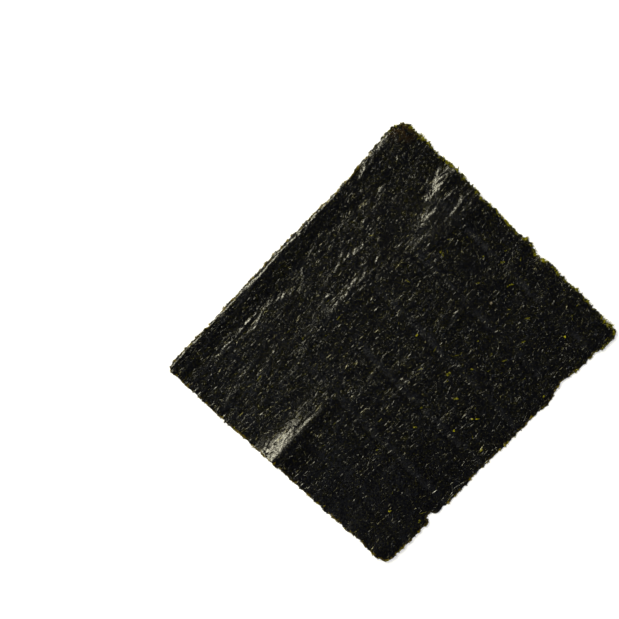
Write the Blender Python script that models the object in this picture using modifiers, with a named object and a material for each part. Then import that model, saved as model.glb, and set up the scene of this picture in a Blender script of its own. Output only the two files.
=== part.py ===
"""A sheet of nori: a thin, crinkled square of pressed, dried seaweed lying on a table.

The sheet is one open surface, shaped by two rules and then given its thickness:
  - outline(): a slightly skewed rectangle with a torn, deckled edge, soft corners and a round chip
  - underside(): how high the sheet stands off the table, from its buckles, pressed grooves and crinkles

Frame, in metres: X runs along the short sides, Y along the long sides and Z up. The origin is on
the table, under the middle of the sheet.
"""

from math import exp, hypot, sqrt

import bmesh
import bpy
from mathutils import Vector, noise

MM = 0.001

# The sheet, nominally 190 x 210 mm. Its near left corner sticks out, so it is slightly out of square.
CORNER_FAR_LEFT = Vector((-95.6, 107.8)) * MM
CORNER_FAR_RIGHT = Vector((94.3, 108.3)) * MM
CORNER_NEAR_LEFT = Vector((-90.0, -108.3)) * MM
CORNER_NEAR_RIGHT = Vector((95.6, -99.4)) * MM
FAR = (CORNER_FAR_RIGHT - CORNER_FAR_LEFT).length
NEAR = (CORNER_NEAR_RIGHT - CORNER_NEAR_LEFT).length
LEFT = (CORNER_NEAR_LEFT - CORNER_FAR_LEFT).length
RIGHT = (CORNER_NEAR_RIGHT - CORNER_FAR_RIGHT).length
THICKNESS = 0.3 * MM

# The grid that carries the shape. Its rows are spaced so that every pressed groove falls on one.
COLUMNS = 42
ROWS = 45
ROWS_TO_FIRST_GROOVE = 5
ROWS_BETWEEN_GROOVES = 7
EDGE_CUTS = 2

# The deckled edge: three sizes of nibble, each (length along the edge, depth).
NIBBLES = ((14.0 * MM, 0.55 * MM), (5.5 * MM, 0.6 * MM), (2.4 * MM, 0.45 * MM))
EDGE_SEEDS = {"far": 17.3, "right": 34.6, "near": 51.9, "left": 69.2}
EDGE_FADE = 15.0 * MM

# A rounded corner takes this share of its radius off both edges where they meet.
CORNER_CUT = 0.29
ROUND_FAR_LEFT = 6.5 * MM
ROUND_FAR_RIGHT = 2.5 * MM
ROUND_NEAR_LEFT = 5.0 * MM
ROUND_NEAR_RIGHT = 6.5 * MM
CHIP_FROM_FAR_END = 165.3 * MM
CHIP_RADIUS = 4.0 * MM
CHIP_DEPTH = 3.6 * MM

# Slow swells and recesses of an edge, in mm: (middle, half width, outwards) from its far or left end.
SWELLS = {
    "far": ((29, 4, -0.6), (36, 4, 1.0), (50, 8, 0.8), (71, 5, -0.6), (110, 4, 1.0), (121, 5, -1.0),
            (165, 24, 0.6)),
    "right": ((10, 7, 0.5), (46, 9, -2.4), (64, 8, 1.5), (84, 10, 1.0), (104, 7, 0.9), (150, 10, 0.7)),
    "near": ((45, 20, 0.4), (100, 14, -0.4), (164, 22, -0.9)),
    "left": ((17, 13, 1.4), (60, 18, -0.6), (118, 22, 0.5), (175, 15, -0.5)),
}

# Buckles that run along y, in mm: the sheet climbs from toe to crest, then falls away over the lee.
# (toe x, crest x, lee, height, middle y, reach along y, sideways drift for each mm of y)
BUCKLES = (
    (-57.0, -46.0, 30.0, 1.7, 114.0, 46.0, -0.20),
    (-45.0, -21.0, 10.0, 1.5, 112.0, 44.0, 0.00),
    (-16.0, -2.0, 20.0, 3.0, -112.0, 40.0, -0.04),
    (-47.0, -37.0, 16.0, 0.9, 6.0, 27.0, 0.10),
    (-78.0, -68.0, 14.0, 0.9, -66.0, 30.0, 0.12),
    (30.0, 46.0, 34.0, 0.7, 100.0, 60.0, -0.15),
)
ROLL_HEIGHT = 0.9 * MM
ROLL_FROM_EDGE = 3.0 * MM
ROLL_LEE = 16.0 * MM

# Corners that curl up off the table: (corner, height, reach)
CURLS = (
    (CORNER_FAR_LEFT, 2.2 * MM, 34.0 * MM),
    (CORNER_FAR_RIGHT, 1.6 * MM, 30.0 * MM),
    (CORNER_NEAR_RIGHT, 2.4 * MM, 38.0 * MM),
    (CORNER_NEAR_LEFT, 1.4 * MM, 30.0 * MM),
)

GROOVE_DEPTH = 0.4 * MM
GROOVE_SPREAD = 4.5 * MM
SWAY_LENGTH = 85.0 * MM
SWAY_HEIGHT = 0.5 * MM
CRINKLE_ACROSS = 10.0 * MM
CRINKLE_ALONG = 21.0 * MM
CRINKLE_HEIGHT = 0.55 * MM
MEAN_CLEARANCE = 0.32 * MM

# A spot on the calm side of the sheet that lies flat on the table.
REST_SPOT = Vector((38.0, -22.0)) * MM
REST_RADIUS = 9.0 * MM
REST_FADE = 8.0 * MM

NORI_COLOUR = (0.012, 0.013, 0.009, 1.0)
NORI_ROUGHNESS = 0.42


def clear_scene():
    for obj in list(bpy.data.objects):
        bpy.data.objects.remove(obj)


def smooth_step(low, high, value):
    share = min(1.0, max(0.0, (value - low) / (high - low)))
    return share * share * (3.0 - 2.0 * share)


def hump(distance, half_width):
    """1 at distance 0, fading to nothing a little past half_width."""
    return exp(-((distance / half_width) ** 2))


def place_in_sheet(across, along):
    """The point of the skewed rectangle at these shares of its width and of its length, far end first."""
    far = CORNER_FAR_LEFT.lerp(CORNER_FAR_RIGHT, across)
    near = CORNER_NEAR_LEFT.lerp(CORNER_NEAR_RIGHT, across)
    return far.lerp(near, along)


def chip(run):
    """The depth of the round chip, a circle that bites into the right edge."""
    off = run - CHIP_FROM_FAR_END
    if abs(off) >= CHIP_RADIUS:
        return 0.0
    return max(0.0, sqrt(CHIP_RADIUS**2 - off**2) + CHIP_DEPTH - CHIP_RADIUS)


def deckle(side, share, side_length, round_start, round_end):
    """How far the torn edge stands outwards of the straight one, at this share of its length."""
    run = share * side_length
    outwards = 0.0
    for octave, (nibble, depth) in enumerate(NIBBLES):
        outwards += depth * noise.noise(Vector((run / nibble, EDGE_SEEDS[side], 5.1 * octave)))
    for middle, half_width, swell in SWELLS[side]:
        outwards += swell * MM * hump(run - middle * MM, half_width * MM)
    outwards -= CORNER_CUT * round_start * hump(run, 0.6 * round_start)
    outwards -= CORNER_CUT * round_end * hump(side_length - run, 0.6 * round_end)
    if side == "right":
        outwards -= chip(run)
    return outwards


def fade_from_edge(distance):
    """An edge's shape is shared with the sheet behind it, so that the grid's cells stay even."""
    return max(0.0, 1.0 - distance / EDGE_FADE) ** 2


def outline(across, along):
    """The sheet seen from above: where the point at these shares of width and length lies."""
    sides = (
        ("far", Vector((0, 1)), across, FAR, along * LEFT, ROUND_FAR_LEFT, ROUND_FAR_RIGHT),
        ("near", Vector((0, -1)), across, NEAR, (1 - along) * LEFT, ROUND_NEAR_LEFT, ROUND_NEAR_RIGHT),
        ("left", Vector((-1, 0)), along, LEFT, across * FAR, ROUND_FAR_LEFT, ROUND_NEAR_LEFT),
        ("right", Vector((1, 0)), along, RIGHT, (1 - across) * FAR, ROUND_FAR_RIGHT, ROUND_NEAR_RIGHT),
    )
    point = place_in_sheet(across, along)
    for side, normal, share, side_length, distance, round_start, round_end in sides:
        fade = fade_from_edge(distance)
        if fade > 0.0:
            point = point + normal * fade * deckle(side, share, side_length, round_start, round_end)
    return point


def buckles(x, y):
    height = 0.0
    for toe, crest, lee, top, middle, reach, drift in BUCKLES:
        inwards = y - middle * MM
        moved = x - drift * inwards
        climb = smooth_step(toe * MM, crest * MM, moved)
        fall = smooth_step(crest * MM, (crest + lee) * MM, moved)
        height += top * MM * (climb - fall) * hump(inwards, reach * MM)
    return height


def left_roll(x, y):
    """The left edge is rolled: it climbs steeply from the very edge and falls slowly behind it."""
    share = (CORNER_FAR_LEFT.y - y) / (CORNER_FAR_LEFT.y - CORNER_NEAR_LEFT.y)
    edge_x = CORNER_FAR_LEFT.x + share * (CORNER_NEAR_LEFT.x - CORNER_FAR_LEFT.x)
    inwards = x - edge_x
    climb = smooth_step(-ROLL_FROM_EDGE, ROLL_FROM_EDGE, inwards)
    fall = smooth_step(ROLL_FROM_EDGE, ROLL_FROM_EDGE + ROLL_LEE, inwards)
    return ROLL_HEIGHT * (climb - fall)


def grooves(along):
    """The lines pressed across the sheet, as soft valleys with a sharp bottom."""
    depth = 0.0
    for row in range(ROWS_TO_FIRST_GROOVE, ROWS, ROWS_BETWEEN_GROOVES):
        off = abs(along - row / ROWS) * LEFT
        depth += GROOVE_DEPTH * exp(-off / GROOVE_SPREAD)
    return -depth


def crinkles(x, y):
    """The sheet's wrinkles, twice as long as wide, over a slow sway of the whole sheet."""
    sway = SWAY_HEIGHT * noise.noise(Vector((x / SWAY_LENGTH, y / SWAY_LENGTH, 3.7)))
    fold = noise.noise(Vector((x / CRINKLE_ACROSS, y / CRINKLE_ALONG, 11.2)))
    fine = noise.noise(Vector((2.1 * x / CRINKLE_ACROSS, 1.7 * y / CRINKLE_ALONG, 23.9)))
    return sway + CRINKLE_HEIGHT * (fold + 0.5 * fine)


def underside(x, y, along):
    """How high the sheet's underside stands off the table, and 0 where it touches."""
    height = MEAN_CLEARANCE + buckles(x, y) + left_roll(x, y) + grooves(along) + crinkles(x, y)
    for corner, top, reach in CURLS:
        height += top * hump(hypot(x - corner.x, y - corner.y), reach)
    from_rest = hypot(x - REST_SPOT.x, y - REST_SPOT.y)
    return max(0.0, height) * smooth_step(REST_RADIUS, REST_RADIUS + REST_FADE, from_rest)


def shape_surface(sheet):
    """Moves the unit grid's points onto the sheet and centres it over the origin."""
    for vert in sheet.verts:
        across = vert.co.x + 0.5
        along = 0.5 - vert.co.y
        x, y = outline(across, along)
        vert.co = (x, y, underside(x, y, along))
    lows = [min(vert.co[axis] for vert in sheet.verts) for axis in range(2)]
    highs = [max(vert.co[axis] for vert in sheet.verts) for axis in range(2)]
    middle = Vector(((lows[0] + highs[0]) / 2, (lows[1] + highs[1]) / 2, 0.0))
    bmesh.ops.translate(sheet, verts=sheet.verts, vec=-middle)


def make_sheet_mesh():
    sheet = bmesh.new()
    bmesh.ops.create_grid(sheet, x_segments=COLUMNS, y_segments=ROWS, size=0.5)
    rim = [edge for edge in sheet.edges if edge.is_boundary]
    bmesh.ops.subdivide_edges(sheet, edges=rim, cuts=EDGE_CUTS)
    shape_surface(sheet)
    bmesh.ops.triangulate(sheet, faces=sheet.faces, quad_method="ALTERNATE", ngon_method="BEAUTY")
    mesh = bpy.data.meshes.new("nori_sheet")
    sheet.to_mesh(mesh)
    sheet.free()
    mesh.shade_smooth()
    return mesh


def nori_material():
    material = bpy.data.materials.new("nori")
    material.use_nodes = True
    shader = material.node_tree.nodes["Principled BSDF"]
    shader.inputs["Base Color"].default_value = NORI_COLOUR
    shader.inputs["Roughness"].default_value = NORI_ROUGHNESS
    shader.inputs["Metallic"].default_value = 0.0
    material.diffuse_color = NORI_COLOUR
    return material


def main():
    clear_scene()
    collection = bpy.data.collections.new("nori_sheet")
    bpy.context.scene.collection.children.link(collection)
    sheet = bpy.data.objects.new("nori_sheet", make_sheet_mesh())
    collection.objects.link(sheet)
    sheet.data.materials.append(nori_material())
    body = sheet.modifiers.new("body", "SOLIDIFY")
    body.thickness = THICKNESS
    body.offset = 1.0
    body.use_even_offset = False


main()
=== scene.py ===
# %% [markdown]
# # A sheet of nori
#
# Nori is paper made of seaweed. Laver is chopped into small blades, poured as a slurry onto a
# frame and dried, so a sheet is a felt: thousands of thin dark blades glued flat over each other,
# cockled where they shrank, and torn ragged where the frame ended. This lesson dresses a plain
# solid sheet in that felt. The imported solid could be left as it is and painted, but nori is read
# from its relief, so the relief is built. The solid is loaded first, because every later piece
# lies on it, and its box is noted, because the dressed sheet may grow only a little past it.

import math
import random

import bmesh
import bpy
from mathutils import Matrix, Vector


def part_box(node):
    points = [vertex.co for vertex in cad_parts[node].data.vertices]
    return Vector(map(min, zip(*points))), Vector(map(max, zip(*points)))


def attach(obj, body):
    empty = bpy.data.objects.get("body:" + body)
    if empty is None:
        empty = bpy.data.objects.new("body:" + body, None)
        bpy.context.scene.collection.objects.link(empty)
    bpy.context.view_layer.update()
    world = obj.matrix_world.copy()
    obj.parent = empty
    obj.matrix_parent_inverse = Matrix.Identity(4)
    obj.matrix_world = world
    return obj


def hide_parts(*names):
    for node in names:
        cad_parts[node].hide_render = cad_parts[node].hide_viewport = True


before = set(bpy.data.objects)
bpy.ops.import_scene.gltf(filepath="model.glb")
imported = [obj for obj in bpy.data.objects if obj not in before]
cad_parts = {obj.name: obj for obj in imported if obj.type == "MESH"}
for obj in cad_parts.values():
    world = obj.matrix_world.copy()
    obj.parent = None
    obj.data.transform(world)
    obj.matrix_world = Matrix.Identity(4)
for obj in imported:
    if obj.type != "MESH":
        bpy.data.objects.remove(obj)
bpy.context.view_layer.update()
MM = 0.001
plain_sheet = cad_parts["nori_sheet"]
low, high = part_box("nori_sheet")
print("plain sheet, mm:", [round(side / MM, 1) for side in high - low])

# %% [markdown]
# ## Helpers for node trees
#
# Geometry and materials are both built from nodes here. One small helper adds a node and fills its
# inputs, either with a value or with another node's output, so that a tree reads from top to bottom
# like ordinary code. Others do sums, ranges and noise, store and read the numbers that points
# carry, give a tree its named inputs, and end every tree the same way. `grow` runs a tree on a copy
# of a mesh and keeps only the plain mesh it makes, so nothing in the finished sheet is still worked
# out by a modifier.

# %% Helpers that add nodes
def node(tree, kind, inputs=None, **settings):
    """Adds a node, changes its settings and fills its inputs, named or numbered."""
    made = tree.nodes.new(kind)
    for name, value in settings.items():
        setattr(made, name, value)
    for name, value in (inputs or {}).items():
        if isinstance(value, bpy.types.NodeSocket):
            tree.links.new(value, made.inputs[name])
        else:
            made.inputs[name].default_value = value
    return made


def sum_of(tree, operation, *values):
    """One step of arithmetic: ADD, MULTIPLY, POWER and so on."""
    return node(tree, "ShaderNodeMath", dict(enumerate(values)), operation=operation).outputs[0]


def vector_sum(tree, operation, *values):
    """The same with vectors."""
    return node(tree, "ShaderNodeVectorMath", dict(enumerate(values)), operation=operation).outputs[0]


def product(tree, first, *others):
    """Multiplies numbers one after the other."""
    for other in others:
        first = sum_of(tree, "MULTIPLY", first, other)
    return first


def ramp(tree, value, low_in, high_in, low_out=0.0, high_out=1.0, ease="LINEAR"):
    """Moves a value from one range to another, without leaving it."""
    inputs = {0: value, 1: low_in, 2: high_in, 3: low_out, 4: high_out}
    return node(tree, "ShaderNodeMapRange", inputs, interpolation_type=ease).outputs[0]


def split(tree, vector):
    """The x, y and z of a vector."""
    return node(tree, "ShaderNodeSeparateXYZ", {0: vector}).outputs


def join(tree, x=0.0, y=0.0, z=0.0):
    """A vector from its x, y and z."""
    return node(tree, "ShaderNodeCombineXYZ", {0: x, 1: y, 2: z}).outputs[0]


def noise(tree, place, scale, detail, **more):
    """Smooth noise around 0.5, with so many waves to a metre."""
    inputs = {"Vector": place, "Scale": scale, "Detail": detail, **more}
    return node(tree, "ShaderNodeTexNoise", inputs).outputs[0]


# %% Helpers for a geometry tree
def geometry_tree(name, inputs):
    """A geometry node tree with named number inputs, each (name, socket type, default)."""
    tree = bpy.data.node_groups.new(name, "GeometryNodeTree")
    tree.interface.new_socket("Geometry", in_out="INPUT", socket_type="NodeSocketGeometry")
    for label, kind, default in inputs:
        socket = tree.interface.new_socket(label, in_out="INPUT", socket_type=kind)
        socket.default_value = default
    tree.interface.new_socket("Geometry", in_out="OUTPUT", socket_type="NodeSocketGeometry")
    return tree, tree.nodes.new("NodeGroupInput").outputs


def stored(tree, geometry, name, value, domain="POINT"):
    """Stores one number on every point, or on every instance."""
    return node(tree, "GeometryNodeStoreNamedAttribute", {"Geometry": geometry, "Name": name, "Value": value},
                data_type="FLOAT", domain=domain).outputs[0]


def number_from(tree, name):
    """Reads a stored number."""
    return node(tree, "GeometryNodeInputNamedAttribute", {"Name": name}, data_type="FLOAT").outputs[0]


def placed(tree, geometry, **change):
    """Moves points, to a Position or by an Offset."""
    return node(tree, "GeometryNodeSetPosition", {"Geometry": geometry, **change}).outputs[0]


def end_tree(tree, geometry, material, smooth=True):
    """The same last steps for every tree: plain mesh, shading, material."""
    real = node(tree, "GeometryNodeRealizeInstances", {"Geometry": geometry})
    shaded = node(tree, "GeometryNodeSetShadeSmooth", {"Geometry": real.outputs[0], "Shade Smooth": smooth})
    dressed = node(tree, "GeometryNodeSetMaterial", {"Geometry": shaded.outputs[0], "Material": material})
    node(tree, "NodeGroupOutput", {0: dressed.outputs[0]})
    return tree


def grow(base, name, tree, **sizes):
    """Runs a tree on a copy of a mesh and returns the result as a plain mesh object."""
    piece = bpy.data.objects.new(name, base.copy())
    bpy.context.scene.collection.objects.link(piece)
    modifier = piece.modifiers.new(name, "NODES")
    modifier.node_group = tree
    for item in tree.interface.items_tree:
        if item.in_out == "INPUT" and item.name in sizes:
            modifier[item.identifier] = sizes[item.name]
    graph = bpy.context.evaluated_depsgraph_get()
    mesh = bpy.data.meshes.new_from_object(piece.evaluated_get(graph), depsgraph=graph)
    piece.modifiers.remove(modifier)
    piece.data = mesh
    mesh.name = name
    triangles = sum(len(face.vertices) - 2 for face in mesh.polygons)
    print(f"{name}: {triangles} triangles")
    return piece


# %% [markdown]
# ## The colours of dried laver
#
# Dry laver is almost black with a little green in it; the blue in its black here is a painted
# reflection of the cool room. Its colours are very dark, so a sheet shows mostly what it reflects,
# and small differences of green still count. A few young blades stay yellow-green, one bit is pale,
# and where the felt thins out at the torn edge the light comes through, painted into its colour:
# green on the far side and brown elsewhere. The pressed bands are painted a lighter cool grey, a
# painted sheen. The far left corner has gone rusty.

# %% Colours
# near-black laver; its blue tint is a painted reflection of the cool room
DARK_LAVER_COOL_REFLECTION = (0.0014, 0.0014, 0.0026, 1.0)
OLIVE_LAVER = (0.0125, 0.0123, 0.0006, 1.0)
OLIVE_FLECK = (0.030, 0.028, 0.005, 1.0)
# painted sheen: the lighter cool grey of pressed bands reflecting the cool window
PRESSED_BAND_SHEEN = (0.0095, 0.0098, 0.0125, 1.0)
YOUNG_LAVER = (0.140, 0.136, 0.006, 1.0)
BRIGHT_LAVER = (0.620, 0.580, 0.012, 1.0)
PALE_BIT = (0.45, 0.38, 0.28, 1.0)
# painted light: green and brown of light shining through the thin torn rim, partly the thin felt's own colour
THIN_EDGE_GREEN_GLOW = (0.098, 0.092, 0.002, 1.0)
THIN_EDGE_BROWN_GLOW = (0.290, 0.215, 0.008, 1.0)
RUST = (0.110, 0.055, 0.006, 1.0)
RUSTY_CORNER = (-95.0 * MM, 104.0 * MM, 0.0)
WARM_SHEEN = (1.0, 0.92, 0.50, 1.0)
WHITE = (1.0, 1.0, 1.0, 1.0)
print("green of old and young laver:", OLIVE_LAVER[1], YOUNG_LAVER[1])

# %% [markdown]
# ## The colour of each blade
#
# No two blades of a real sheet are equally green. Every blade carries a number, its tone, which
# picks its colour, and the felt stores three more: how thin its torn edge is, how firmly it was
# pressed, and how settled (smooth) it lies. The sheet could be painted by hand, but paint would
# belong to one mesh; numbers and noise give every blade a colour of its own, wherever it lands.

# %% Colour of each blade
def mix(tree, share, first, second):
    """Blends two colours."""
    made = node(tree, "ShaderNodeMix", data_type="RGBA")
    for socket, value in ((made.inputs[0], share), (made.inputs[6], first), (made.inputs[7], second)):
        if isinstance(value, bpy.types.NodeSocket):
            tree.links.new(value, socket)
        else:
            socket.default_value = value
    return made.outputs[2]


def laver_colour(tree, place, told, own, blotch):
    """told holds the numbers that blades and felt carry, and own is how olive a blade is by itself."""
    x, y, _ = split(tree, place)

    # each blade has its own olive, and blotches 8 mm across and the left side are greener
    olive = product(tree, own, ramp(tree, blotch, 0.36, 0.62, 0.2, 1.1))
    olive = product(tree, olive, ramp(tree, x, -60 * MM, 80 * MM, 1.25, 0.65))
    # the dark end of this mix carries the painted blue reflection of the cool room
    felt = mix(tree, olive, DARK_LAVER_COOL_REFLECTION, OLIVE_LAVER)
    fleck = noise(tree, place, 1100.0, 2.0)
    felt = mix(tree, ramp(tree, fleck, 0.56, 0.70, 0.0, 0.7), felt, OLIVE_FLECK)
    # pressed bands are painted lighter and bluer, a painted sheen of the cool window
    felt = mix(tree, product(tree, told["pressed"], 0.8), felt, PRESSED_BAND_SHEEN)

    # a tone past 1 is a young blade, and one past 2.4 the pale bit
    felt = mix(tree, ramp(tree, told["tone"], 0.985, 0.995), felt, YOUNG_LAVER)
    felt = mix(tree, ramp(tree, told["tone"], 1.1, 2.0), felt, BRIGHT_LAVER)
    felt = mix(tree, ramp(tree, told["tone"], 2.4, 2.5), felt, PALE_BIT)

    # the torn edge is thin in clumps and painted with the light shining through it, partly its own thin
    # colour, and one corner is rusty
    fray = noise(tree, place, 420.0, 3.0)
    thin = product(tree, told["edge"], ramp(tree, fray, 0.42, 0.6))
    felt = mix(tree, thin, felt, mix(tree, ramp(tree, y, 60 * MM, 100 * MM), THIN_EDGE_BROWN_GLOW, THIN_EDGE_GREEN_GLOW))
    from_corner = node(tree, "ShaderNodeVectorMath", {0: place, 1: RUSTY_CORNER}, operation="DISTANCE")
    near_corner = ramp(tree, from_corner.outputs["Value"], 3 * MM, 16 * MM, 0.35, 0.0)
    return mix(tree, product(tree, near_corner, ramp(tree, fray, 0.4, 0.6)), felt, RUST)


# %% [markdown]
# ## The finish of dried laver
#
# Laver shines like waxed paper. The hairs on its face are a hundredth of a millimetre high, too fine
# to model, so they are bumps: the contour lines of a stretched noise are long thin strands. The
# shine is broken up by streaks, because glue and dust lie on the blades in streaks, and these are
# longest on the glossy slivers. All of it is worked out from the place on the sheet, so the finish
# stays put however the sheet is turned.

# %% The laver material
# hairs: spacing in mm, how much longer than wide, turn in degrees, height in mm
HAIRS = ((3.2, 5.0, -4, 0.011), (2.6, 3.5, -30, 0.008))
HAIR_WIDTH = 0.007
STREAKS_PER_METRE = 1900.0


def hair_relief(tree, place, settled):
    """The height of the hairs: contour lines of a stretched noise make long fine strands."""
    relief = 0.0
    for spacing, stretch, turn, tall in HAIRS:
        laid = node(tree, "ShaderNodeMapping", {
            "Vector": place,
            "Rotation": (0.0, 0.0, math.radians(turn)),
            "Scale": (1.0, 1.0 / stretch, 1.0),
        }).outputs[0]
        wave = noise(tree, laid, 1.0 / (spacing * MM), 1.5, Distortion=0.6)
        off_line = sum_of(tree, "ABSOLUTE", sum_of(tree, "SUBTRACT", wave, 0.5))
        strand = ramp(tree, off_line, 0.0, HAIR_WIDTH, 1.0, 0.0)
        relief = sum_of(tree, "ADD", relief, product(tree, strand, tall * MM))
    return product(tree, relief, ramp(tree, settled, 0.0, 0.45, 1.0, 0.4))


def laver_material(name, roughness, streak):
    """The same laver in three finishes: flakes, glossier slivers, and the dull underside.

    streak is how wide the streaks in its shine are, as a share of their length."""
    material = bpy.data.materials.new(name)
    material.use_nodes = True
    tree = material.node_tree
    place = tree.nodes.new("ShaderNodeTexCoord").outputs["Object"]
    told = {label: node(tree, "ShaderNodeAttribute", attribute_name=label).outputs["Fac"]
            for label in ("tone", "edge", "pressed", "settled")}
    own = ramp(tree, told["tone"], 0.35, 0.97)
    blotch = noise(tree, place, 120.0, 4.0)
    hairs = hair_relief(tree, place, told["settled"])
    bump = node(tree, "ShaderNodeBump", {"Height": hairs, "Strength": 1.0, "Distance": 1.0})
    dull = ramp(tree, blotch, 0.3, 0.7, roughness, roughness + 0.05)
    streaked = node(tree, "ShaderNodeMapping", {"Vector": place, "Scale": (1.0, streak, 1.0)}).outputs[0]
    streaks = noise(tree, streaked, STREAKS_PER_METRE, 2.0, Distortion=0.3)
    finish = {
        "Base Color": laver_colour(tree, place, told, own, blotch),
        "Normal": bump.outputs[0],
        "Roughness": sum_of(tree, "ADD", dull, product(tree, told["pressed"], 0.08)),
        "Specular Tint": mix(tree, own, WHITE, WARM_SHEEN),
        "Specular IOR Level": ramp(tree, streaks, 0.45, 0.60, 0.14, 0.86),
    }
    for label, value in finish.items():
        tree.links.new(value, tree.nodes["Principled BSDF"].inputs[label])
    return material


laver = laver_material("dried_laver", 0.19, 0.4)
glossy_laver = laver_material("glossy_laver", 0.12, 0.22)
dull_laver = laver_material("dull_laver", 0.42, 0.4)
print("finishes:", laver.name, glossy_laver.name, dull_laver.name)

# %% [markdown]
# ## The felt itself
#
# The plain solid has the sheet's outline and its broad buckles, in cells of 5 mm. A copy of it is
# cut finer, to cells of less than a millimetre on top, so that it can take what is smaller. The
# underside is cut more coarsely, because it lies on the table. Cutting along the solid's own edges
# keeps the copy closed and its outline exact; a voxel remesh would blunt the thin rim.

# %% Cut the plain sheet finer
TOP_CUTS = 5
UNDERSIDE_CUTS = 2
WELD = 0.01 * MM
# a face that leans more than this, as the z of its normal, belongs to the rim
RIM_LEAN = 0.35


def fine_copy(plain):
    """A closed copy of the sheet in smaller cells, finest on top."""
    mesh = plain.data.copy()
    work = bmesh.new()
    work.from_mesh(mesh)
    bmesh.ops.remove_doubles(work, verts=work.verts, dist=WELD)
    work.normal_update()
    for cuts, side in ((TOP_CUTS, 1), (UNDERSIDE_CUTS, -1)):
        facing = [face for face in work.faces if face.normal.z * side > RIM_LEAN]
        edges = list({edge for face in facing for edge in face.edges})
        bmesh.ops.subdivide_edges(work, edges=edges, cuts=cuts, use_grid_fill=True)
    bmesh.ops.triangulate(work, faces=work.faces)
    open_edges = sum(1 for edge in work.edges if not edge.is_manifold)
    work.to_mesh(mesh)
    work.free()
    mesh.materials.clear()
    print("fine copy:", len(mesh.polygons), "triangles,", open_edges, "open edges")
    return mesh


fine = fine_copy(plain_sheet)

# %% [markdown]
# ## What the felt knows before it is lifted
#
# One geometry tree gives the felt all its relief, because the same rule then lifts both faces and
# the sheet keeps its thickness. Sculpting it by hand would look the same, but could not be changed
# by a number. The tree first stores on every point how thin the torn edge is there, which face it
# is on and how far inside the rim it lies. Then it smooths the plain solid's facets away, as real
# felt has none, but leaves the rim's points alone, so that the outline stays true.

# %% Mark and smooth the felt
SMOOTHING_STEPS = 20
CALM_RIM = 1.2 * MM


def smoothed_felt(tree, felt, place):
    normal = tree.nodes.new("GeometryNodeInputNormal").outputs[0]
    facing = split(tree, normal)[2]
    upright = sum_of(tree, "LESS_THAN", sum_of(tree, "ABSOLUTE", facing), RIM_LEAN)
    rim = node(tree, "GeometryNodeSeparateGeometry", {"Geometry": felt, "Selection": upright}, domain="FACE")
    near = node(tree, "GeometryNodeProximity", {0: rim.outputs[0]}, target_element="EDGES")
    from_rim = near.outputs["Distance"]
    thin_reach = ramp(tree, split(tree, place)[1], 60 * MM, 100 * MM, 1.6 * MM, 2.4 * MM)
    thin = ramp(tree, from_rim, 0.0, thin_reach, 1.0, 0.0)
    clump = noise(tree, place, 260.0, 2.0)
    felt = stored(tree, felt, "edge", product(tree, thin, ramp(tree, clump, 0.42, 0.56, 0.2, 1.0)))
    felt = stored(tree, felt, "top", sum_of(tree, "GREATER_THAN", facing, 0.0))
    felt = stored(tree, felt, "inside", ramp(tree, from_rim, 0.0, CALM_RIM))
    soft = node(tree, "GeometryNodeBlurAttribute",
                {"Value": place, "Iterations": SMOOTHING_STEPS, "Weight": number_from(tree, "inside")},
                data_type="FLOAT_VECTOR").outputs[0]
    return placed(tree, felt, Position=soft)


# %% [markdown]
# ## Cockles
#
# Cockles are ridges from 1 to 7 mm wide, where the blades shrank as they dried. Real ones run along
# the sheet, because it dried stretched on its frame, so their noise is stretched too. The distance
# of a smooth noise from its middle value has sharp crests and round hollows, as cockles have. They
# are lower toward the right, and calm near one corner, where the sheet lay flatter.

# %% Four sizes of cockles
# width, height, how much they bend, and what is left of them on the right
COCKLES = (
    (7.0 * MM, 0.48 * MM, 0.6, 1.0), (3.4 * MM, 0.46 * MM, 0.8, 0.8),
    (1.7 * MM, 0.30 * MM, 1.2, 0.55), (0.9 * MM, 0.22 * MM, 1.0, 0.45),
)
COCKLE_STRETCH = 3.6


def cockles(tree, x, flat, place, corner):
    """The height of the cockles. flat is the place with its y shrunk, which stretches the noise."""
    lift = 0.0
    for size, tall, bend, left_over in COCKLES:
        wave = noise(tree, flat, 0.5 / size, 1.5, Roughness=0.5, Distortion=bend)
        centred = product(tree, sum_of(tree, "SUBTRACT", wave, 0.5), 4.0)
        ridge = sum_of(tree, "SUBTRACT", 0.5, sum_of(tree, "ABSOLUTE", centred))
        height = ramp(tree, x, -80 * MM, -14 * MM, 1.25 * tall, left_over * tall)
        lift = sum_of(tree, "ADD", lift, product(tree, ridge, height))
    calm = noise(tree, place, 26.0, 1.0)
    vigour = product(tree, ramp(tree, calm, 0.36, 0.64, 0.45, 1.2), ramp(tree, corner, 0.0, 1.0, 1.0, 0.4))
    return product(tree, lift, vigour)


print("cockles, mm wide:", [round(size / MM, 1) for size, *_ in COCKLES])

# %% [markdown]
# ## Press lines
#
# Press lines cross the sheet every 33 mm, where it was marked for cutting into strips: a quick step
# down, a slow ramp up, and a smooth band where blades were ironed flat; the finish paints that band
# a lighter cool grey, a painted sheen. Their profile is a sum of ramps, so each part can be moved by
# itself; a drawn curve would do as well, but hides its numbers. They fade in and out along the
# sheet, strongest right of the middle.

# %% Press lines across the sheet
PRESS_SPACING = 33.1 * MM
PRESS_START = 84.3 * MM
PRESS_WANDER = 3.0 * MM
# the profile across a press line: start, end and rise in mm
PRESS_STEPS = ((-8.0, -1.5, 0.16), (-1.5, 0.0, -0.60), (0.0, 4.5, 0.74), (4.5, 13.0, -0.30))


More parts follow.
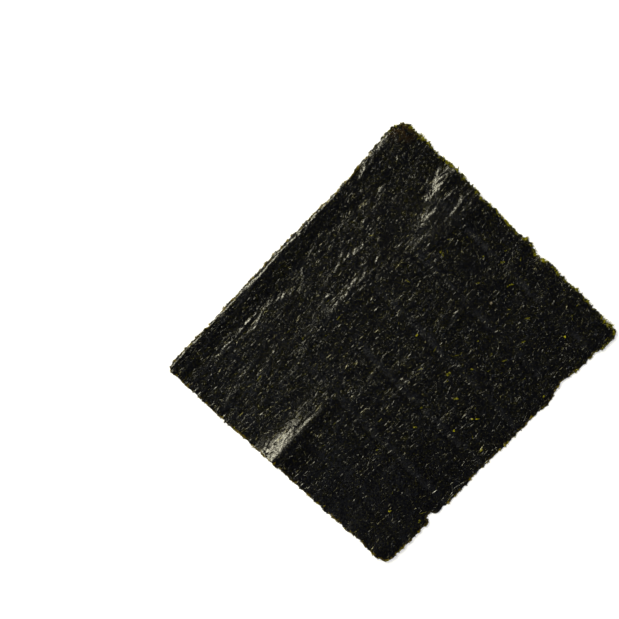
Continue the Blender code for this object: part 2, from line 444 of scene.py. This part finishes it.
def press_lines(tree, x, y, flat, place, amount):
    """The height of the press lines, and how firmly each point was pressed."""
    wander = product(tree, noise(tree, flat, 60.0, 2.0), PRESS_WANDER)
    shifted = sum_of(tree, "SUBTRACT", sum_of(tree, "ADD", y, wander), PRESS_START + PRESS_WANDER / 2)
    steps = sum_of(tree, "DIVIDE", shifted, PRESS_SPACING)
    past = product(tree, sum_of(tree, "SUBTRACT", steps, sum_of(tree, "ROUND", steps)), PRESS_SPACING)
    profile = 0.0
    for start, end, rise in PRESS_STEPS:
        profile = sum_of(tree, "ADD", profile, ramp(tree, past, start * MM, end * MM, 0.0, rise * MM))
    patchy = ramp(tree, noise(tree, place, 45.0, 1.0), 0.38, 0.56, 0.1, 1.0)
    shown = product(tree, patchy, ramp(tree, x, -40 * MM, -12 * MM, 0.2, 1.0),
                    ramp(tree, y, -75 * MM, -60 * MM, 0.25, 1.0), amount)
    band = product(tree, ramp(tree, past, -0.8 * MM, 0.4 * MM),
                   ramp(tree, past, 2.0 * MM, 5.5 * MM, 1.0, 0.0))
    ragged = ramp(tree, noise(tree, place, 260.0, 2.0), 0.38, 0.55, 0.25, 1.0)
    return product(tree, profile, shown), product(tree, band, shown, ragged)


print("press lines, mm apart:", round(PRESS_SPACING / MM, 1))

# %% [markdown]
# ## Folds
#
# Folds are slopes that face the left edge and drop off quickly behind, where the sheet buckled as it
# was lifted. Chance does not place them, so each has a row of its own. A fold is the product of a
# soft rise, a quick drop and a fade along y, and noise makes its crest wander. The felt is pulled
# tight on the slope, so blades lie sparser there and it shines smoother.

# %% Folds in places of their own
# each fold in mm: toe x, crest x, lee, height, middle y, reach, drift of x along y
FOLDS = (
    (-11, 1, 5, 1.8, -108, 64, -0.03), (-46, -21, 4, 1.6, 108, 60, 0.10),
    (-61, -51, 6, 1.1, 108, 34, -0.15), (-94.5, -89.5, 12, 1.7, -30, 120, -0.026),
    (-47, -41, 8, 0.2, 6, 34, 0.05), (-79, -71, 9, 0.3, -66, 34, 0.1), (8, 18, 8, 0.5, 60, 40, 0.0),
)


def folded(tree, lift, x, y, flat):
    """Adds the folds to a height, and tells how tight the felt is pulled on their slopes."""
    wobble = sum_of(tree, "SUBTRACT", noise(tree, flat, 110.0, 3.0), 0.5)
    shaken = sum_of(tree, "ADD", x, product(tree, wobble, 4.5 * MM))
    tight = 0.0
    for toe, crest, lee, tall, middle, reach, slant in FOLDS:
        along = sum_of(tree, "SUBTRACT", y, middle * MM)
        moved = sum_of(tree, "SUBTRACT", shaken, product(tree, along, slant))
        up = ramp(tree, moved, toe * MM, crest * MM, 0.0, 1.0, "SMOOTHSTEP")
        down = ramp(tree, moved, crest * MM, (crest + lee) * MM, 1.0, 0.0)
        off = sum_of(tree, "ABSOLUTE", along)
        fade = ramp(tree, off, 0.4 * reach * MM, reach * MM, 1.0, 0.0, "SMOOTHSTEP")
        fold = product(tree, up, down, fade)
        lift = sum_of(tree, "ADD", lift, product(tree, fold, tall * MM))
        slope = product(tree, fold, sum_of(tree, "SUBTRACT", 1.0, up))
        tight = sum_of(tree, "MAXIMUM", tight, product(tree, slope, min(4.0, 4.0 * tall)))
    return lift, tight


print("folds, mm high:", [fold[3] for fold in FOLDS])

# %% [markdown]
# ## Tears, and all the relief together
#
# Tears move the rim's points in the plane, by a noise of their own, deepest on the far edge. The
# tree adds everything up, with inputs that can fade the cockles and the press lines, and raises the
# sheet a little, so that only its deepest hollows touch the table. It stores how firmly each point
# was pressed and how settled it lies, for the finish and the blades, and a smoothed height, because
# stiff strands bridge the finest cockles.

# %% Grow the relief
SHEET_THICKNESS = 0.3 * MM
# how often the height kept for stiff strands is blurred
BRIDGE_STEPS = 6


def tears(tree, given, place, y):
    """How far each point of the rim is torn sideways."""
    finer = sum_of(tree, "DIVIDE", 1.0, given["Tear length"])
    spread = node(tree, "ShaderNodeVectorMath", {0: place, 3: finer}, operation="SCALE").outputs[0]
    torn = node(tree, "ShaderNodeTexNoise", {
        "Vector": spread, "Scale": 0.8, "Detail": 3.0, "Roughness": 0.7}).outputs["Color"]
    sideways = vector_sum(tree, "SUBTRACT", torn, (0.5, 0.5, 0.5))
    at_rim = sum_of(tree, "SUBTRACT", 1.0, number_from(tree, "inside"))
    reach = product(tree, at_rim, product(tree, given["Tear depth"], 4.0),
                    ramp(tree, y, 85 * MM, 100 * MM, 0.5, 1.0))
    sideways = node(tree, "ShaderNodeVectorMath", {0: sideways, 3: reach}, operation="SCALE").outputs[0]
    return vector_sum(tree, "MULTIPLY", sideways, (1.0, 1.0, 0.0))


def relief_tree():
    tree, given = geometry_tree("cockled_felt", [
        ("Cockles", "NodeSocketFloat", 1.0),
        ("Press lines", "NodeSocketFloat", 1.0),
        ("Raise", "NodeSocketFloat", 0.35 * MM),
        ("Tear depth", "NodeSocketFloat", 2.0 * MM),
        ("Tear length", "NodeSocketFloat", 1.8 * MM),
    ])
    place = tree.nodes.new("GeometryNodeInputPosition").outputs[0]
    felt = smoothed_felt(tree, given[0], place)
    x, y, z = split(tree, place)
    flat = join(tree, x, sum_of(tree, "DIVIDE", y, COCKLE_STRETCH))
    corner = ramp(tree, sum_of(tree, "SUBTRACT", x, y), 60 * MM, 140 * MM)
    lines, pressed = press_lines(tree, x, y, flat, place, given["Press lines"])
    lift = product(tree, cockles(tree, x, flat, place, corner), given["Cockles"])
    lift = product(tree, lift, ramp(tree, pressed, 0.0, 1.0, 1.0, 0.3))
    lift, tight = folded(tree, sum_of(tree, "ADD", lift, lines), x, y, flat)
    lift = sum_of(tree, "ADD", lift, given["Raise"])
    settled = sum_of(tree, "MAXIMUM", product(tree, pressed, 0.75), product(tree, tight, 0.7))
    settled = sum_of(tree, "MAXIMUM", settled, product(tree, corner, 0.6))
    felt = stored(tree, felt, "pressed", pressed)
    felt = stored(tree, felt, "settled", settled)
    move = vector_sum(tree, "ADD", tears(tree, given, place, y), join(tree, z=lift))
    felt = placed(tree, felt, Offset=move)

    # nothing sinks into the table: the underside stops at 0, and the top one thickness above it
    floor_here = product(tree, number_from(tree, "top"), SHEET_THICKNESS)
    felt = placed(tree, felt, Position=join(tree, x, y, sum_of(tree, "MAXIMUM", z, floor_here)))
    level = node(tree, "GeometryNodeBlurAttribute",
                 {"Value": z, "Iterations": BRIDGE_STEPS, "Weight": number_from(tree, "inside")},
                 data_type="FLOAT").outputs[0]
    return end_tree(tree, stored(tree, felt, "level", level), laver)


felt = grow(fine, "pressed_felt", relief_tree())

# %% [markdown]
# ## Blades, flakes and crumbs to scatter
#
# What catches the light on a real sheet is its top layer: slivers and flakes of laver, 1 to 9 mm
# long, whose middles stand up a hair's breadth while their rims are glued down. Two makers give four
# families. A blade is a low closed ridge, bent and pointed at both ends; a flake is a ragged low
# lens. Ten or twelve different shapes of each are enough, because every one is turned and stretched
# when it is scattered, and a few faces each are enough, because none is wider than 3 mm.

# %% Makers of blades and flakes
def blade_mesh(name, stations, chance):
    """A bent sliver 2 units wide and 2 long: three points to a ring, pointed at both ends."""
    bow, sway = chance.uniform(-0.5, 0.5), chance.uniform(-0.35, 0.35)
    work = bmesh.new()
    rings = []
    for station in range(1, stations):
        along = -1.0 + 2.0 * station / stations
        middle = bow * (along * along - 0.4) + sway * along ** 3
        width = math.sqrt(1.0 - along * along) * chance.uniform(0.6, 1.2)
        crest = middle + width * chance.uniform(-0.5, 0.5)
        rings.append([work.verts.new(at) for at in
                      ((middle - width, along, 0.0), (crest, along, width), (middle + width, along, 0.0))])
    for ring, following in zip(rings, rings[1:]):
        for corner in range(3):
            beside = (corner + 1) % 3
            work.faces.new((ring[corner], ring[beside], following[beside], following[corner]))
    for ring, end in ((rings[0], -1.0), (rings[-1], 1.0)):
        tip = work.verts.new((bow * 0.6 + sway * end, end, 0.0))
        for corner in range(3):
            work.faces.new((ring[corner], ring[(corner + 1) % 3], tip))
    return closed_mesh(name, work)


def flake_mesh(name, corners, chance):
    """A ragged low lens 2 units across, with its highest point off the middle."""
    work = bmesh.new()
    rim = []
    for corner in range(corners):
        angle = math.tau * (corner + chance.uniform(-0.3, 0.3)) / corners
        reach = chance.uniform(0.55, 1.1)
        rim.append(work.verts.new((reach * math.cos(angle), reach * math.sin(angle), 0.0)))
    top = work.verts.new((chance.uniform(-0.4, 0.4), chance.uniform(-0.4, 0.4), 1.0))
    base = work.verts.new((0.0, 0.0, -0.5))
    for corner in range(corners):
        beside = (corner + 1) % corners
        work.faces.new((rim[corner], rim[beside], top))
        work.faces.new((rim[beside], rim[corner], base))
    return closed_mesh(name, work)


def closed_mesh(name, work):
    bmesh.ops.recalc_face_normals(work, faces=work.faces)
    bmesh.ops.triangulate(work, faces=work.faces)
    mesh = bpy.data.meshes.new(name)
    work.to_mesh(mesh)
    work.free()
    return bpy.data.objects.new(name, mesh)


def family(name, maker, points, count, seed):
    """A collection of different blades of one kind."""
    chance = random.Random(seed)
    made = bpy.data.collections.new(name)
    for number in range(count):
        made.objects.link(maker(f"{name}_{number}", points, chance))
    return made


# %% Four families
slivers = family("slivers", blade_mesh, 4, 12, 5)
shards = family("shards", blade_mesh, 3, 10, 8)
flakes = family("flakes", flake_mesh, 7, 10, 6)
chips = family("chips", flake_mesh, 4, 10, 9)

# %% [markdown]
# ## Scatter and drape
#
# Thousands of blades follow one rule, so a geometry tree scatters them, with a fixed seed. Most lie
# along the sheet, few stand up, and where the felt was pressed or pulled tight they are sparser.
# A ray is then cast straight down from every point of every blade to find the felt below, and the
# point is set on that height, so each blade drapes over the cockles. Wet slivers are stiff as they
# dry, so they bridge the finest cockles, while flakes and crumbs follow them. Instances laid flat
# would be lighter, but they would float over the hollows or sink in the ridges.

# %% Plant and drape
RAY_HEIGHT = 20 * MM
# how deep the rim of a blade is glued in
SUNK = 0.02 * MM


def random_number(tree, given, low_end, high_end, offset):
    """A random number for each blade, from the tree's own seed; offset keeps the draws apart."""
    seed = sum_of(tree, "ADD", given["Seed"], float(offset))
    return node(tree, "FunctionNodeRandomValue", {2: low_end, 3: high_end, "Seed": seed}).outputs[1]


def planted(tree, given, points, shapes, turned, size):
    """Puts one of the shapes, picked at random, on every point."""
    pool = node(tree, "GeometryNodeCollectionInfo", {
        "Collection": shapes, "Separate Children": True, "Reset Children": True})
    pick_seed = sum_of(tree, "ADD", given["Seed"], 88.0)
    pick = node(tree, "FunctionNodeRandomValue",
                {4: 0, 5: 999, "Seed": pick_seed}, data_type="INT").outputs[2]
    return node(tree, "GeometryNodeInstanceOnPoints", {
        "Points": points, "Instance": pool.outputs[0], "Pick Instance": True, "Instance Index": pick,
        "Rotation": turned, "Scale": size,
    }).outputs[0]


def tone_of(tree, given, odds, brightest, grown):
    """The tone of each blade: past 1 for a young one, up to the brightest, or else what it has grown to."""
    young = sum_of(tree, "LESS_THAN", random_number(tree, given, 0.0, 1.0, 66), odds)
    young = product(tree, young, random_number(tree, given, 1.0, brightest, 99))
    return sum_of(tree, "MAXIMUM", grown, young)


def draped(tree, blades, cloth, side, bridge=0.0):
    """Sets every point of the blades on the felt straight below it (above it, for side -1).

    bridge 0 follows every cockle, and 1 follows the smoothed level."""
    x, y, z = split(tree, tree.nodes.new("GeometryNodeInputPosition").outputs[0])
    based = stored(tree, blades, "ground", z, "INSTANCE")
    real = node(tree, "GeometryNodeRealizeInstances", {"Geometry": based}).outputs[0]
    rise = sum_of(tree, "SUBTRACT", z, number_from(tree, "ground"))
    start = join(tree, x, y, RAY_HEIGHT * side)
    ray = node(tree, "GeometryNodeRaycast", {
        "Target Geometry": cloth, "Source Position": start,
        "Ray Direction": (0.0, 0.0, -1.0 * side), "Ray Length": 2 * RAY_HEIGHT,
        "Attribute": number_from(tree, "level"),
    }, data_type="FLOAT").outputs
    hit = split(tree, ray["Hit Position"])[2]
    span = product(tree, sum_of(tree, "SUBTRACT", ray["Attribute"], hit), bridge)
    hit = sum_of(tree, "ADD", hit, span)
    ripple = product(tree, rise, ramp(tree, noise(tree, start, 500.0, 1.0), 0.35, 0.65, 0.4, 1.6))
    above = sum_of(tree, "SUBTRACT", ripple, SUNK)
    height = sum_of(tree, "ADD", hit, product(tree, above, float(side)))
    height = sum_of(tree, "MAXIMUM", height, 0.0)
    laid = placed(tree, real, Position=join(tree, x, y, height))
    missed = sum_of(tree, "SUBTRACT", 1.0, ray["Is Hit"])
    return node(tree, "GeometryNodeDeleteGeometry", {"Geometry": laid, "Selection": missed}).outputs[0]


# %% The scattering tree
def blade_tree(name, shapes, side, material, smooth=True):
    """side is 1 for the top of the sheet and -1 for its underside."""
    tree, given = geometry_tree(name, [
        ("Per square metre", "NodeSocketFloat", 100000.0),
        ("Width", "NodeSocketFloat", 1.0 * MM),
        ("Length", "NodeSocketFloat", 5.0 * MM),
        ("Height", "NodeSocketFloat", 0.2 * MM),
        ("Turn", "NodeSocketFloat", 0.5),
        ("Roll", "NodeSocketFloat", 0.3),
        ("Young share", "NodeSocketFloat", 0.01),
        ("Bridge", "NodeSocketFloat", 0.0),
        ("Seed", "NodeSocketInt", 1),
    ])
    upward = split(tree, tree.nodes.new("GeometryNodeInputNormal").outputs[0])[2]
    loose = sum_of(tree, "SUBTRACT", 1.0, number_from(tree, "settled"))
    points = node(tree, "GeometryNodeDistributePointsOnFaces", {
        "Mesh": given[0], "Seed": given["Seed"],
        "Selection": sum_of(tree, "GREATER_THAN", product(tree, upward, float(side)), 0.6),
        "Density": product(tree, given["Per square metre"], loose),
    }, distribute_method="RANDOM").outputs[0]

    # most blades lie along y; a few lie any way round
    spin = random_number(tree, given, -1.0, 1.0, 11)
    spin = product(tree, sum_of(tree, "POWER", sum_of(tree, "ABSOLUTE", spin), 1.8),
                   sum_of(tree, "SIGN", spin))
    spin = product(tree, spin, product(tree, given["Turn"], math.pi))
    x = split(tree, tree.nodes.new("GeometryNodeInputPosition").outputs[0])[0]
    spin = sum_of(tree, "ADD", spin, ramp(tree, x, -90 * MM, 90 * MM, 0.05, -0.16))
    roll = product(tree, random_number(tree, given, -1.0, 1.0, 77), given["Roll"])

    # most are glued flat; few stand up
    tall = sum_of(tree, "POWER", random_number(tree, given, 0.0, 1.0, 44), 2.5)
    size = join(tree, product(tree, given["Width"], random_number(tree, given, 0.25, 0.5, 22)),
                product(tree, given["Length"], random_number(tree, given, 0.12, 0.55, 33)),
                product(tree, given["Height"], sum_of(tree, "ADD", tall, 0.12)))
    blades = planted(tree, given, points, shapes, join(tree, 0.0, roll, spin), size)

    # young ones are commoner toward the right
    odds = product(tree, given["Young share"], ramp(tree, x, -90 * MM, 90 * MM, 0.2, 2.0))
    grown = sum_of(tree, "POWER", random_number(tree, given, 0.0, 0.97, 55), 1.4)
    blades = stored(tree, blades, "tone", tone_of(tree, given, odds, 1.7, grown), "INSTANCE")
    return end_tree(tree, draped(tree, blades, given[0], side, given["Bridge"]), material, smooth)


# %% [markdown]
# ## Four covers on top and one below
#
# Broad flakes make the ground. Slim blades and shreds lie on it, mostly along the sheet, and give
# the long strokes of light; crumbs fill in the grain between them. These last three are shaded flat,
# facet by facet, because a torn edge of dry laver glints sharply and smooth shading would make
# worms of them. The underside dried against the mat: it is duller, with flat flakes lying any way.

# %% Cover the top
broad = grow(felt.data, "broad_flakes", blade_tree("broad_laver", flakes, 1, laver), **{
    "Per square metre": 160000.0, "Width": 2.4 * MM, "Length": 8.0 * MM, "Height": 0.18 * MM,
    "Turn": 0.45, "Roll": 0.12, "Young share": 0.0, "Seed": 3})
slim = grow(felt.data, "slim_blades", blade_tree("slim_laver", slivers, 1, glossy_laver, False), **{
    "Per square metre": 200000.0, "Width": 0.6 * MM, "Length": 9.0 * MM, "Height": 0.18 * MM,
    "Turn": 0.35, "Roll": 0.3, "Young share": 0.002, "Bridge": 0.8, "Seed": 7})
shreds = grow(felt.data, "shreds", blade_tree("shredded_laver", shards, 1, glossy_laver, False), **{
    "Per square metre": 360000.0, "Width": 0.30 * MM, "Length": 6.0 * MM, "Height": 0.16 * MM,
    "Turn": 0.45, "Roll": 0.5, "Young share": 0.005, "Bridge": 0.8, "Seed": 12})
crumbs = grow(felt.data, "laver_crumbs", blade_tree("crumbled_laver", chips, 1, laver, False), **{
    "Per square metre": 180000.0, "Width": 0.5 * MM, "Length": 1.6 * MM, "Height": 0.12 * MM,
    "Turn": 0.8, "Roll": 0.4, "Young share": 0.005, "Seed": 15})

# %% Cover the underside
under = grow(felt.data, "underside_flakes", blade_tree("underside_laver", flakes, -1, dull_laver), **{
    "Per square metre": 130000.0, "Width": 2.6 * MM, "Length": 8.0 * MM, "Height": 0.12 * MM,
    "Turn": 0.9, "Roll": 0.05, "Young share": 0.004, "Seed": 21})

# %% [markdown]
# ## Torn rim
#
# The frame's edge leaves no clean cut: blades end past the rim, and where only one blade is left the
# light comes through yellow-green; that light is painted here, by giving many rim tufts the colour
# of young blades. Hairs grown from a curve would all be alike, so slivers are scattered on the rim
# faces alone, each pointing outward, give or take half a right angle. They come in clumps, longest
# on the far edge.

# %% Tufts along the rim
def tuft_tree(name, shapes):
    """Slivers that point out of the rim, some of them young."""
    tree, given = geometry_tree(name, [
        ("Tufts per metre", "NodeSocketFloat", 1500.0),
        ("Width", "NodeSocketFloat", 0.8 * MM),
        ("Length", "NodeSocketFloat", 2.4 * MM),
        ("Height", "NodeSocketFloat", 0.25 * MM),
        ("Young share", "NodeSocketFloat", 0.5),
        ("Seed", "NodeSocketInt", 1),
    ])
    upward = split(tree, tree.nodes.new("GeometryNodeInputNormal").outputs[0])[2]
    points = node(tree, "GeometryNodeDistributePointsOnFaces", {
        "Mesh": given[0], "Seed": given["Seed"],
        "Selection": sum_of(tree, "LESS_THAN", sum_of(tree, "ABSOLUTE", upward), RIM_LEAN),
        "Density": sum_of(tree, "DIVIDE", given["Tufts per metre"], SHEET_THICKNESS),
    }, distribute_method="RANDOM").outputs
    out_x, out_y, _ = split(tree, points["Normal"])
    step = random_number(tree, given, -0.5 * MM, 0.35 * MM, 21)
    push = join(tree, product(tree, out_x, step), product(tree, out_y, step))
    points = placed(tree, points[0], Offset=push)
    outward = sum_of(tree, "SUBTRACT", sum_of(tree, "ARCTAN2", out_y, out_x), math.pi / 2)
    spin = sum_of(tree, "ADD", outward, random_number(tree, given, -0.9, 0.9, 11))
    turned = join(tree, random_number(tree, given, -0.15, 0.15, 31),
                  random_number(tree, given, -0.4, 0.4, 77), spin)
    place = tree.nodes.new("GeometryNodeInputPosition").outputs[0]
    x, y, z = split(tree, place)
    clump = noise(tree, place, 260.0, 2.0)
    bushy = product(tree, ramp(tree, clump, 0.42, 0.62, 0.6, 1.5),
                    ramp(tree, y, 85 * MM, 100 * MM, 0.55, 1.0))
    luck = sum_of(tree, "POWER", random_number(tree, given, 0.0, 1.0, 33), 2.0)
    long = sum_of(tree, "ADD", 0.12, product(tree, luck, 0.4))
    size = join(tree, product(tree, given["Width"], random_number(tree, given, 0.2, 0.5, 22)),
                product(tree, given["Length"], bushy, long),
                product(tree, given["Height"], random_number(tree, given, 0.3, 1.0, 44)))
    tufts = planted(tree, given, points, shapes, turned, size)

    # the young ones come in clumps, and mostly on the far and right edges; their yellow-green is partly
    # painted light shining through the thin rim
    far = sum_of(tree, "MAXIMUM", ramp(tree, y, 80 * MM, 100 * MM),
                 ramp(tree, x, 80 * MM, 94 * MM, 0.0, 0.3))
    odds = product(tree, ramp(tree, clump, 0.44, 0.58, 0.1, 1.0), ramp(tree, far, 0.0, 1.0, 0.25, 1.7),
                   given["Young share"])
    grown = random_number(tree, given, 0.3, 0.97, 55)
    tufts = stored(tree, tufts, "tone", tone_of(tree, given, odds, 1.6, grown), "INSTANCE")
    real = node(tree, "GeometryNodeRealizeInstances", {"Geometry": tufts}).outputs[0]
    resting = placed(tree, real, Position=join(tree, x, y, sum_of(tree, "MAXIMUM", z, 0.0)))
    return end_tree(tree, resting, laver)


tufts = grow(felt.data, "rim_tufts", tuft_tree("rim_tufts", slivers), **{
    "Tufts per metre": 1900.0, "Width": 0.75 * MM, "Length": 3.8 * MM, "Height": 0.3 * MM,
    "Young share": 0.7, "Seed": 4})

# %% [markdown]
# ## Young bits
#
# The larger yellow-green bits are young laver that was not chopped fine. Chance would put them
# anywhere, but on this sheet they lie in places of their own, so each is written down with its size,
# turn and tone. A bit is never one neat leaf, so it is made as ten scraps close together: plain
# points that carry their length, width, turn and tone, and a tree that plants a flake on each.

# %% Young bits in places of their own
# x, y, length, width in mm, turn in degrees, tone
BITS = (
    (70.5, 5.5, 5.0, 0.9, -45, 2.2), (38.4, 13.8, 2.6, 2.0, 0, 1.7), (46.9, 26.5, 1.8, 1.1, -60, 1.7),
    (52.2, 6.0, 3.2, 1.5, -40, 1.8), (7.1, 17.0, 1.8, 1.2, 0, 2.0), (47.2, -24.9, 2.2, 1.1, -50, 1.9),
    (66.2, -9.2, 1.8, 1.2, 0, 2.0), (34.8, 28.5, 1.6, 1.0, 0, 1.3), (41.5, -13.2, 1.4, 1.0, 20, 1.5),
    (36.7, 41.6, 1.6, 1.1, 0, 1.3), (11.2, 67.4, 2.4, 1.2, -40, 1.4), (-18.0, 64.7, 4.6, 1.5, 80, 1.4),
    (-12.8, 83.2, 5.0, 0.9, 85, 1.2), (12.8, 87.6, 3.0, 1.3, -40, 1.7), (26.4, 81.2, 5.0, 1.0, -30, 1.6),
    (9.2, 95.0, 3.2, 1.0, -30, 1.2), (48.6, 73.6, 3.0, 1.1, -40, 1.5), (73.6, 82.1, 1.8, 1.4, 0, 2.0),
    (65.4, 102.0, 2.2, 1.2, 0, 1.5), (57.6, 61.6, 2.4, 0.9, -20, 1.5), (49.0, 41.9, 1.6, 1.2, 0, 1.4),
    (1.7, 81.7, 2.0, 1.0, 10, 1.4), (40.7, -52.0, 1.8, 1.0, -30, 1.5), (87.2, -6.1, 2.4, 1.2, 0, 1.6),
    (73.0, -73.6, 1.8, 1.4, 0, 1.9), (91.0, -65.0, 2.0, 1.0, 15, 1.6), (91.0, 46.0, 2.2, 1.2, 0, 1.6),
    (25.9, 64.3, 1.8, 1.5, 0, 4.2),
)
SCRAPS = 10


def bits_mesh(name):
    """Loose points, a few for each bit, with the length, width, turn and tone of a scrap of it."""
    luck = random.Random(14)
    scraps = []
    for x, y, length, width, turn, tone in BITS:
        angle = math.radians(turn)
        for _ in range(SCRAPS):
            along = length * luck.uniform(-0.45, 0.45)
            beside = width * luck.uniform(-0.45, 0.45)
            scraps.append((x - along * math.sin(angle) + beside * math.cos(angle),
                           y + along * math.cos(angle) + beside * math.sin(angle),
                           length * luck.uniform(0.2, 0.5), width * luck.uniform(0.2, 0.6),
                           angle + luck.uniform(-0.7, 0.7), tone * luck.uniform(0.6, 1.05)))
    mesh = bpy.data.meshes.new(name)
    mesh.from_pydata([(scrap[0] * MM, scrap[1] * MM, 0.0) for scrap in scraps], [], [])
    columns = {
        "bit_length": [scrap[2] * MM for scrap in scraps], "bit_width": [scrap[3] * MM for scrap in scraps],
        "bit_turn": [scrap[4] for scrap in scraps], "bit_tone": [scrap[5] for scrap in scraps],
    }
    for label, values in columns.items():
        mesh.attributes.new(label, "FLOAT", "POINT").data.foreach_set("value", values)
    return mesh


def bits_tree(name, shapes, ground):
    """Plants a flake on every point and drapes it on the ground."""
    tree, given = geometry_tree(name, [
        ("Height", "NodeSocketFloat", 0.2 * MM),
        ("Seed", "NodeSocketInt", 1),
    ])
    points = node(tree, "GeometryNodeMeshToPoints", {"Mesh": given[0]}).outputs[0]
    turned = join(tree, z=number_from(tree, "bit_turn"))
    size = join(tree, product(tree, number_from(tree, "bit_width"), 0.65),
                product(tree, number_from(tree, "bit_length"), 0.6), given["Height"])
    bits = planted(tree, given, points, shapes, turned, size)
    bits = stored(tree, bits, "tone", number_from(tree, "bit_tone"), "INSTANCE")
    cloth = node(tree, "GeometryNodeObjectInfo", {0: ground}).outputs["Geometry"]
    return end_tree(tree, draped(tree, bits, cloth, 1), laver)


bits = grow(bits_mesh("young_bits"), "young_bits", bits_tree("young_bits", flakes, felt), **{
    "Height": 0.22 * MM, "Seed": 2})

# %% [markdown]
# ## Fitting the pieces to the sheet
#
# Every piece rides with the sheet's one body. The fine felt stands in for the plain solid, which is
# hidden and stays underneath as it was loaded.

# %% Ride and replace
PIECES = (felt, broad, slim, shreds, crumbs, under, tufts, bits)
for piece in PIECES:
    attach(piece, "root")
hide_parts("nori_sheet")
print("pieces:", len(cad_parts), "packed,", len(PIECES), "dressed")

# %% [markdown]
# ## Floor and room
#
# The sheet lies on a plain white floor, wide enough that its edge is never seen, and a little
# lower than the sheet so that the two never flicker. The floor glows faintly, so that it stays white
# while the lights are kept low for the felt. The room is pale near the horizon and dark overhead:
# seen from above the black felt stays black, and seen from low down it still shows.

# %% The floor
FLOOR_SIDE = 40.0
bpy.ops.mesh.primitive_plane_add(size=FLOOR_SIDE, location=(0.0, 0.0, 0.0))
floor = bpy.context.object
floor.name = "floor"
floor.location.z = -0.05 * MM
paper_white = bpy.data.materials.new("paper_white")
paper_white.use_nodes = True
paper = paper_white.node_tree.nodes["Principled BSDF"].inputs
paper["Base Color"].default_value = (0.9, 0.9, 0.9, 1.0)
paper["Roughness"].default_value = 1.0
paper["Specular IOR Level"].default_value = 0.0
paper["Emission Color"].default_value = (1.0, 1.0, 1.0, 1.0)
paper["Emission Strength"].default_value = 0.62
floor.data.materials.append(paper_white)
print("floor, m:", FLOOR_SIDE)

# %% The room
# brightest near the horizon, as seen from the floor
SKY = (0.76, 0.80, 1.0, 1.0)
SKY_CLIMB = (0.30, 0.50)
SKY_STRENGTH = (0.25, 0.05)
world = bpy.data.worlds.new("studio")
bpy.context.scene.world = world
world.use_nodes = True
backdrop = world.node_tree.nodes["Background"]
backdrop.inputs[0].default_value = SKY
air = world.node_tree
skyward = split(air, air.nodes.new("ShaderNodeTexCoord").outputs["Generated"])[2]
air.links.new(ramp(air, skyward, *SKY_CLIMB, *SKY_STRENGTH), backdrop.inputs[1])

# %% [markdown]
# ## Lights
#
# The felt is so dark that its look is nearly all reflection, so the lights draw it. The warm key
# stands to the left, across the blades, and lights the slopes that face it. A faint cool window
# nearly overhead shows the press lines, whose bands lie level. Two weak lights behind and beside
# are there for the rims and the low views.

# %% Four softboxes
def softbox(name, turn, climb, distance, side, power, colour=(1.0, 1.0, 1.0)):
    """A square light at this compass turn and climb (degrees) that faces the sheet."""
    light = bpy.data.lights.new(name, "AREA")
    light.shape = "SQUARE"
    light.size = side
    light.energy = power
    light.color = colour
    lamp = bpy.data.objects.new(name, light)
    bpy.context.scene.collection.objects.link(lamp)
    turn, climb = math.radians(turn), math.radians(climb)
    away = Vector((math.cos(turn) * math.cos(climb), math.sin(turn) * math.cos(climb), math.sin(climb)))
    lamp.location = away * distance
    lamp.rotation_euler = away.to_track_quat("Z", "Y").to_euler()
    return lamp


key = softbox("key", 187, 52, 2.0, 0.95, 35, (1.0, 0.96, 0.73))
window = softbox("window", 262, 73, 2.0, 0.9, 0.38, (0.74, 0.82, 1.0))
back_light = softbox("back_light", 40, 10, 2.2, 1.0, 4, (0.9, 0.95, 1.0))
side_light = softbox("side_light", 130, 16, 2.2, 1.0, 2.5, (1.0, 0.98, 0.94))
print("lights:", key.name, window.name, back_light.name, side_light.name)

# %% [markdown]
# ## Camera
#
# The sheet is seen from straight above, turned an eighth of a turn, so it stands on a corner, and to
# the right of the middle. The camera could be turned or the sheet, and turning the camera leaves the
# sheet where it lies. The lens is found from how wide a strip of floor is seen at that height.

# %% Camera
FRAME_WIDTH = 391 * MM
CAMERA_PLACE = Vector((-52.35 * MM, -19.5 * MM, 0.8))
SENSOR = 36.0
camera_data = bpy.data.cameras.new("camera")
camera_data.sensor_width = SENSOR
camera_data.lens = SENSOR * CAMERA_PLACE.z / FRAME_WIDTH
camera = bpy.data.objects.new("camera", camera_data)
bpy.context.scene.collection.objects.link(camera)
camera.location = CAMERA_PLACE
camera.rotation_euler = (0.0, 0.0, math.radians(45))
bpy.context.scene.camera = camera
bpy.context.scene.view_settings.view_transform = "Standard"
print("lens, mm:", round(camera_data.lens, 1))
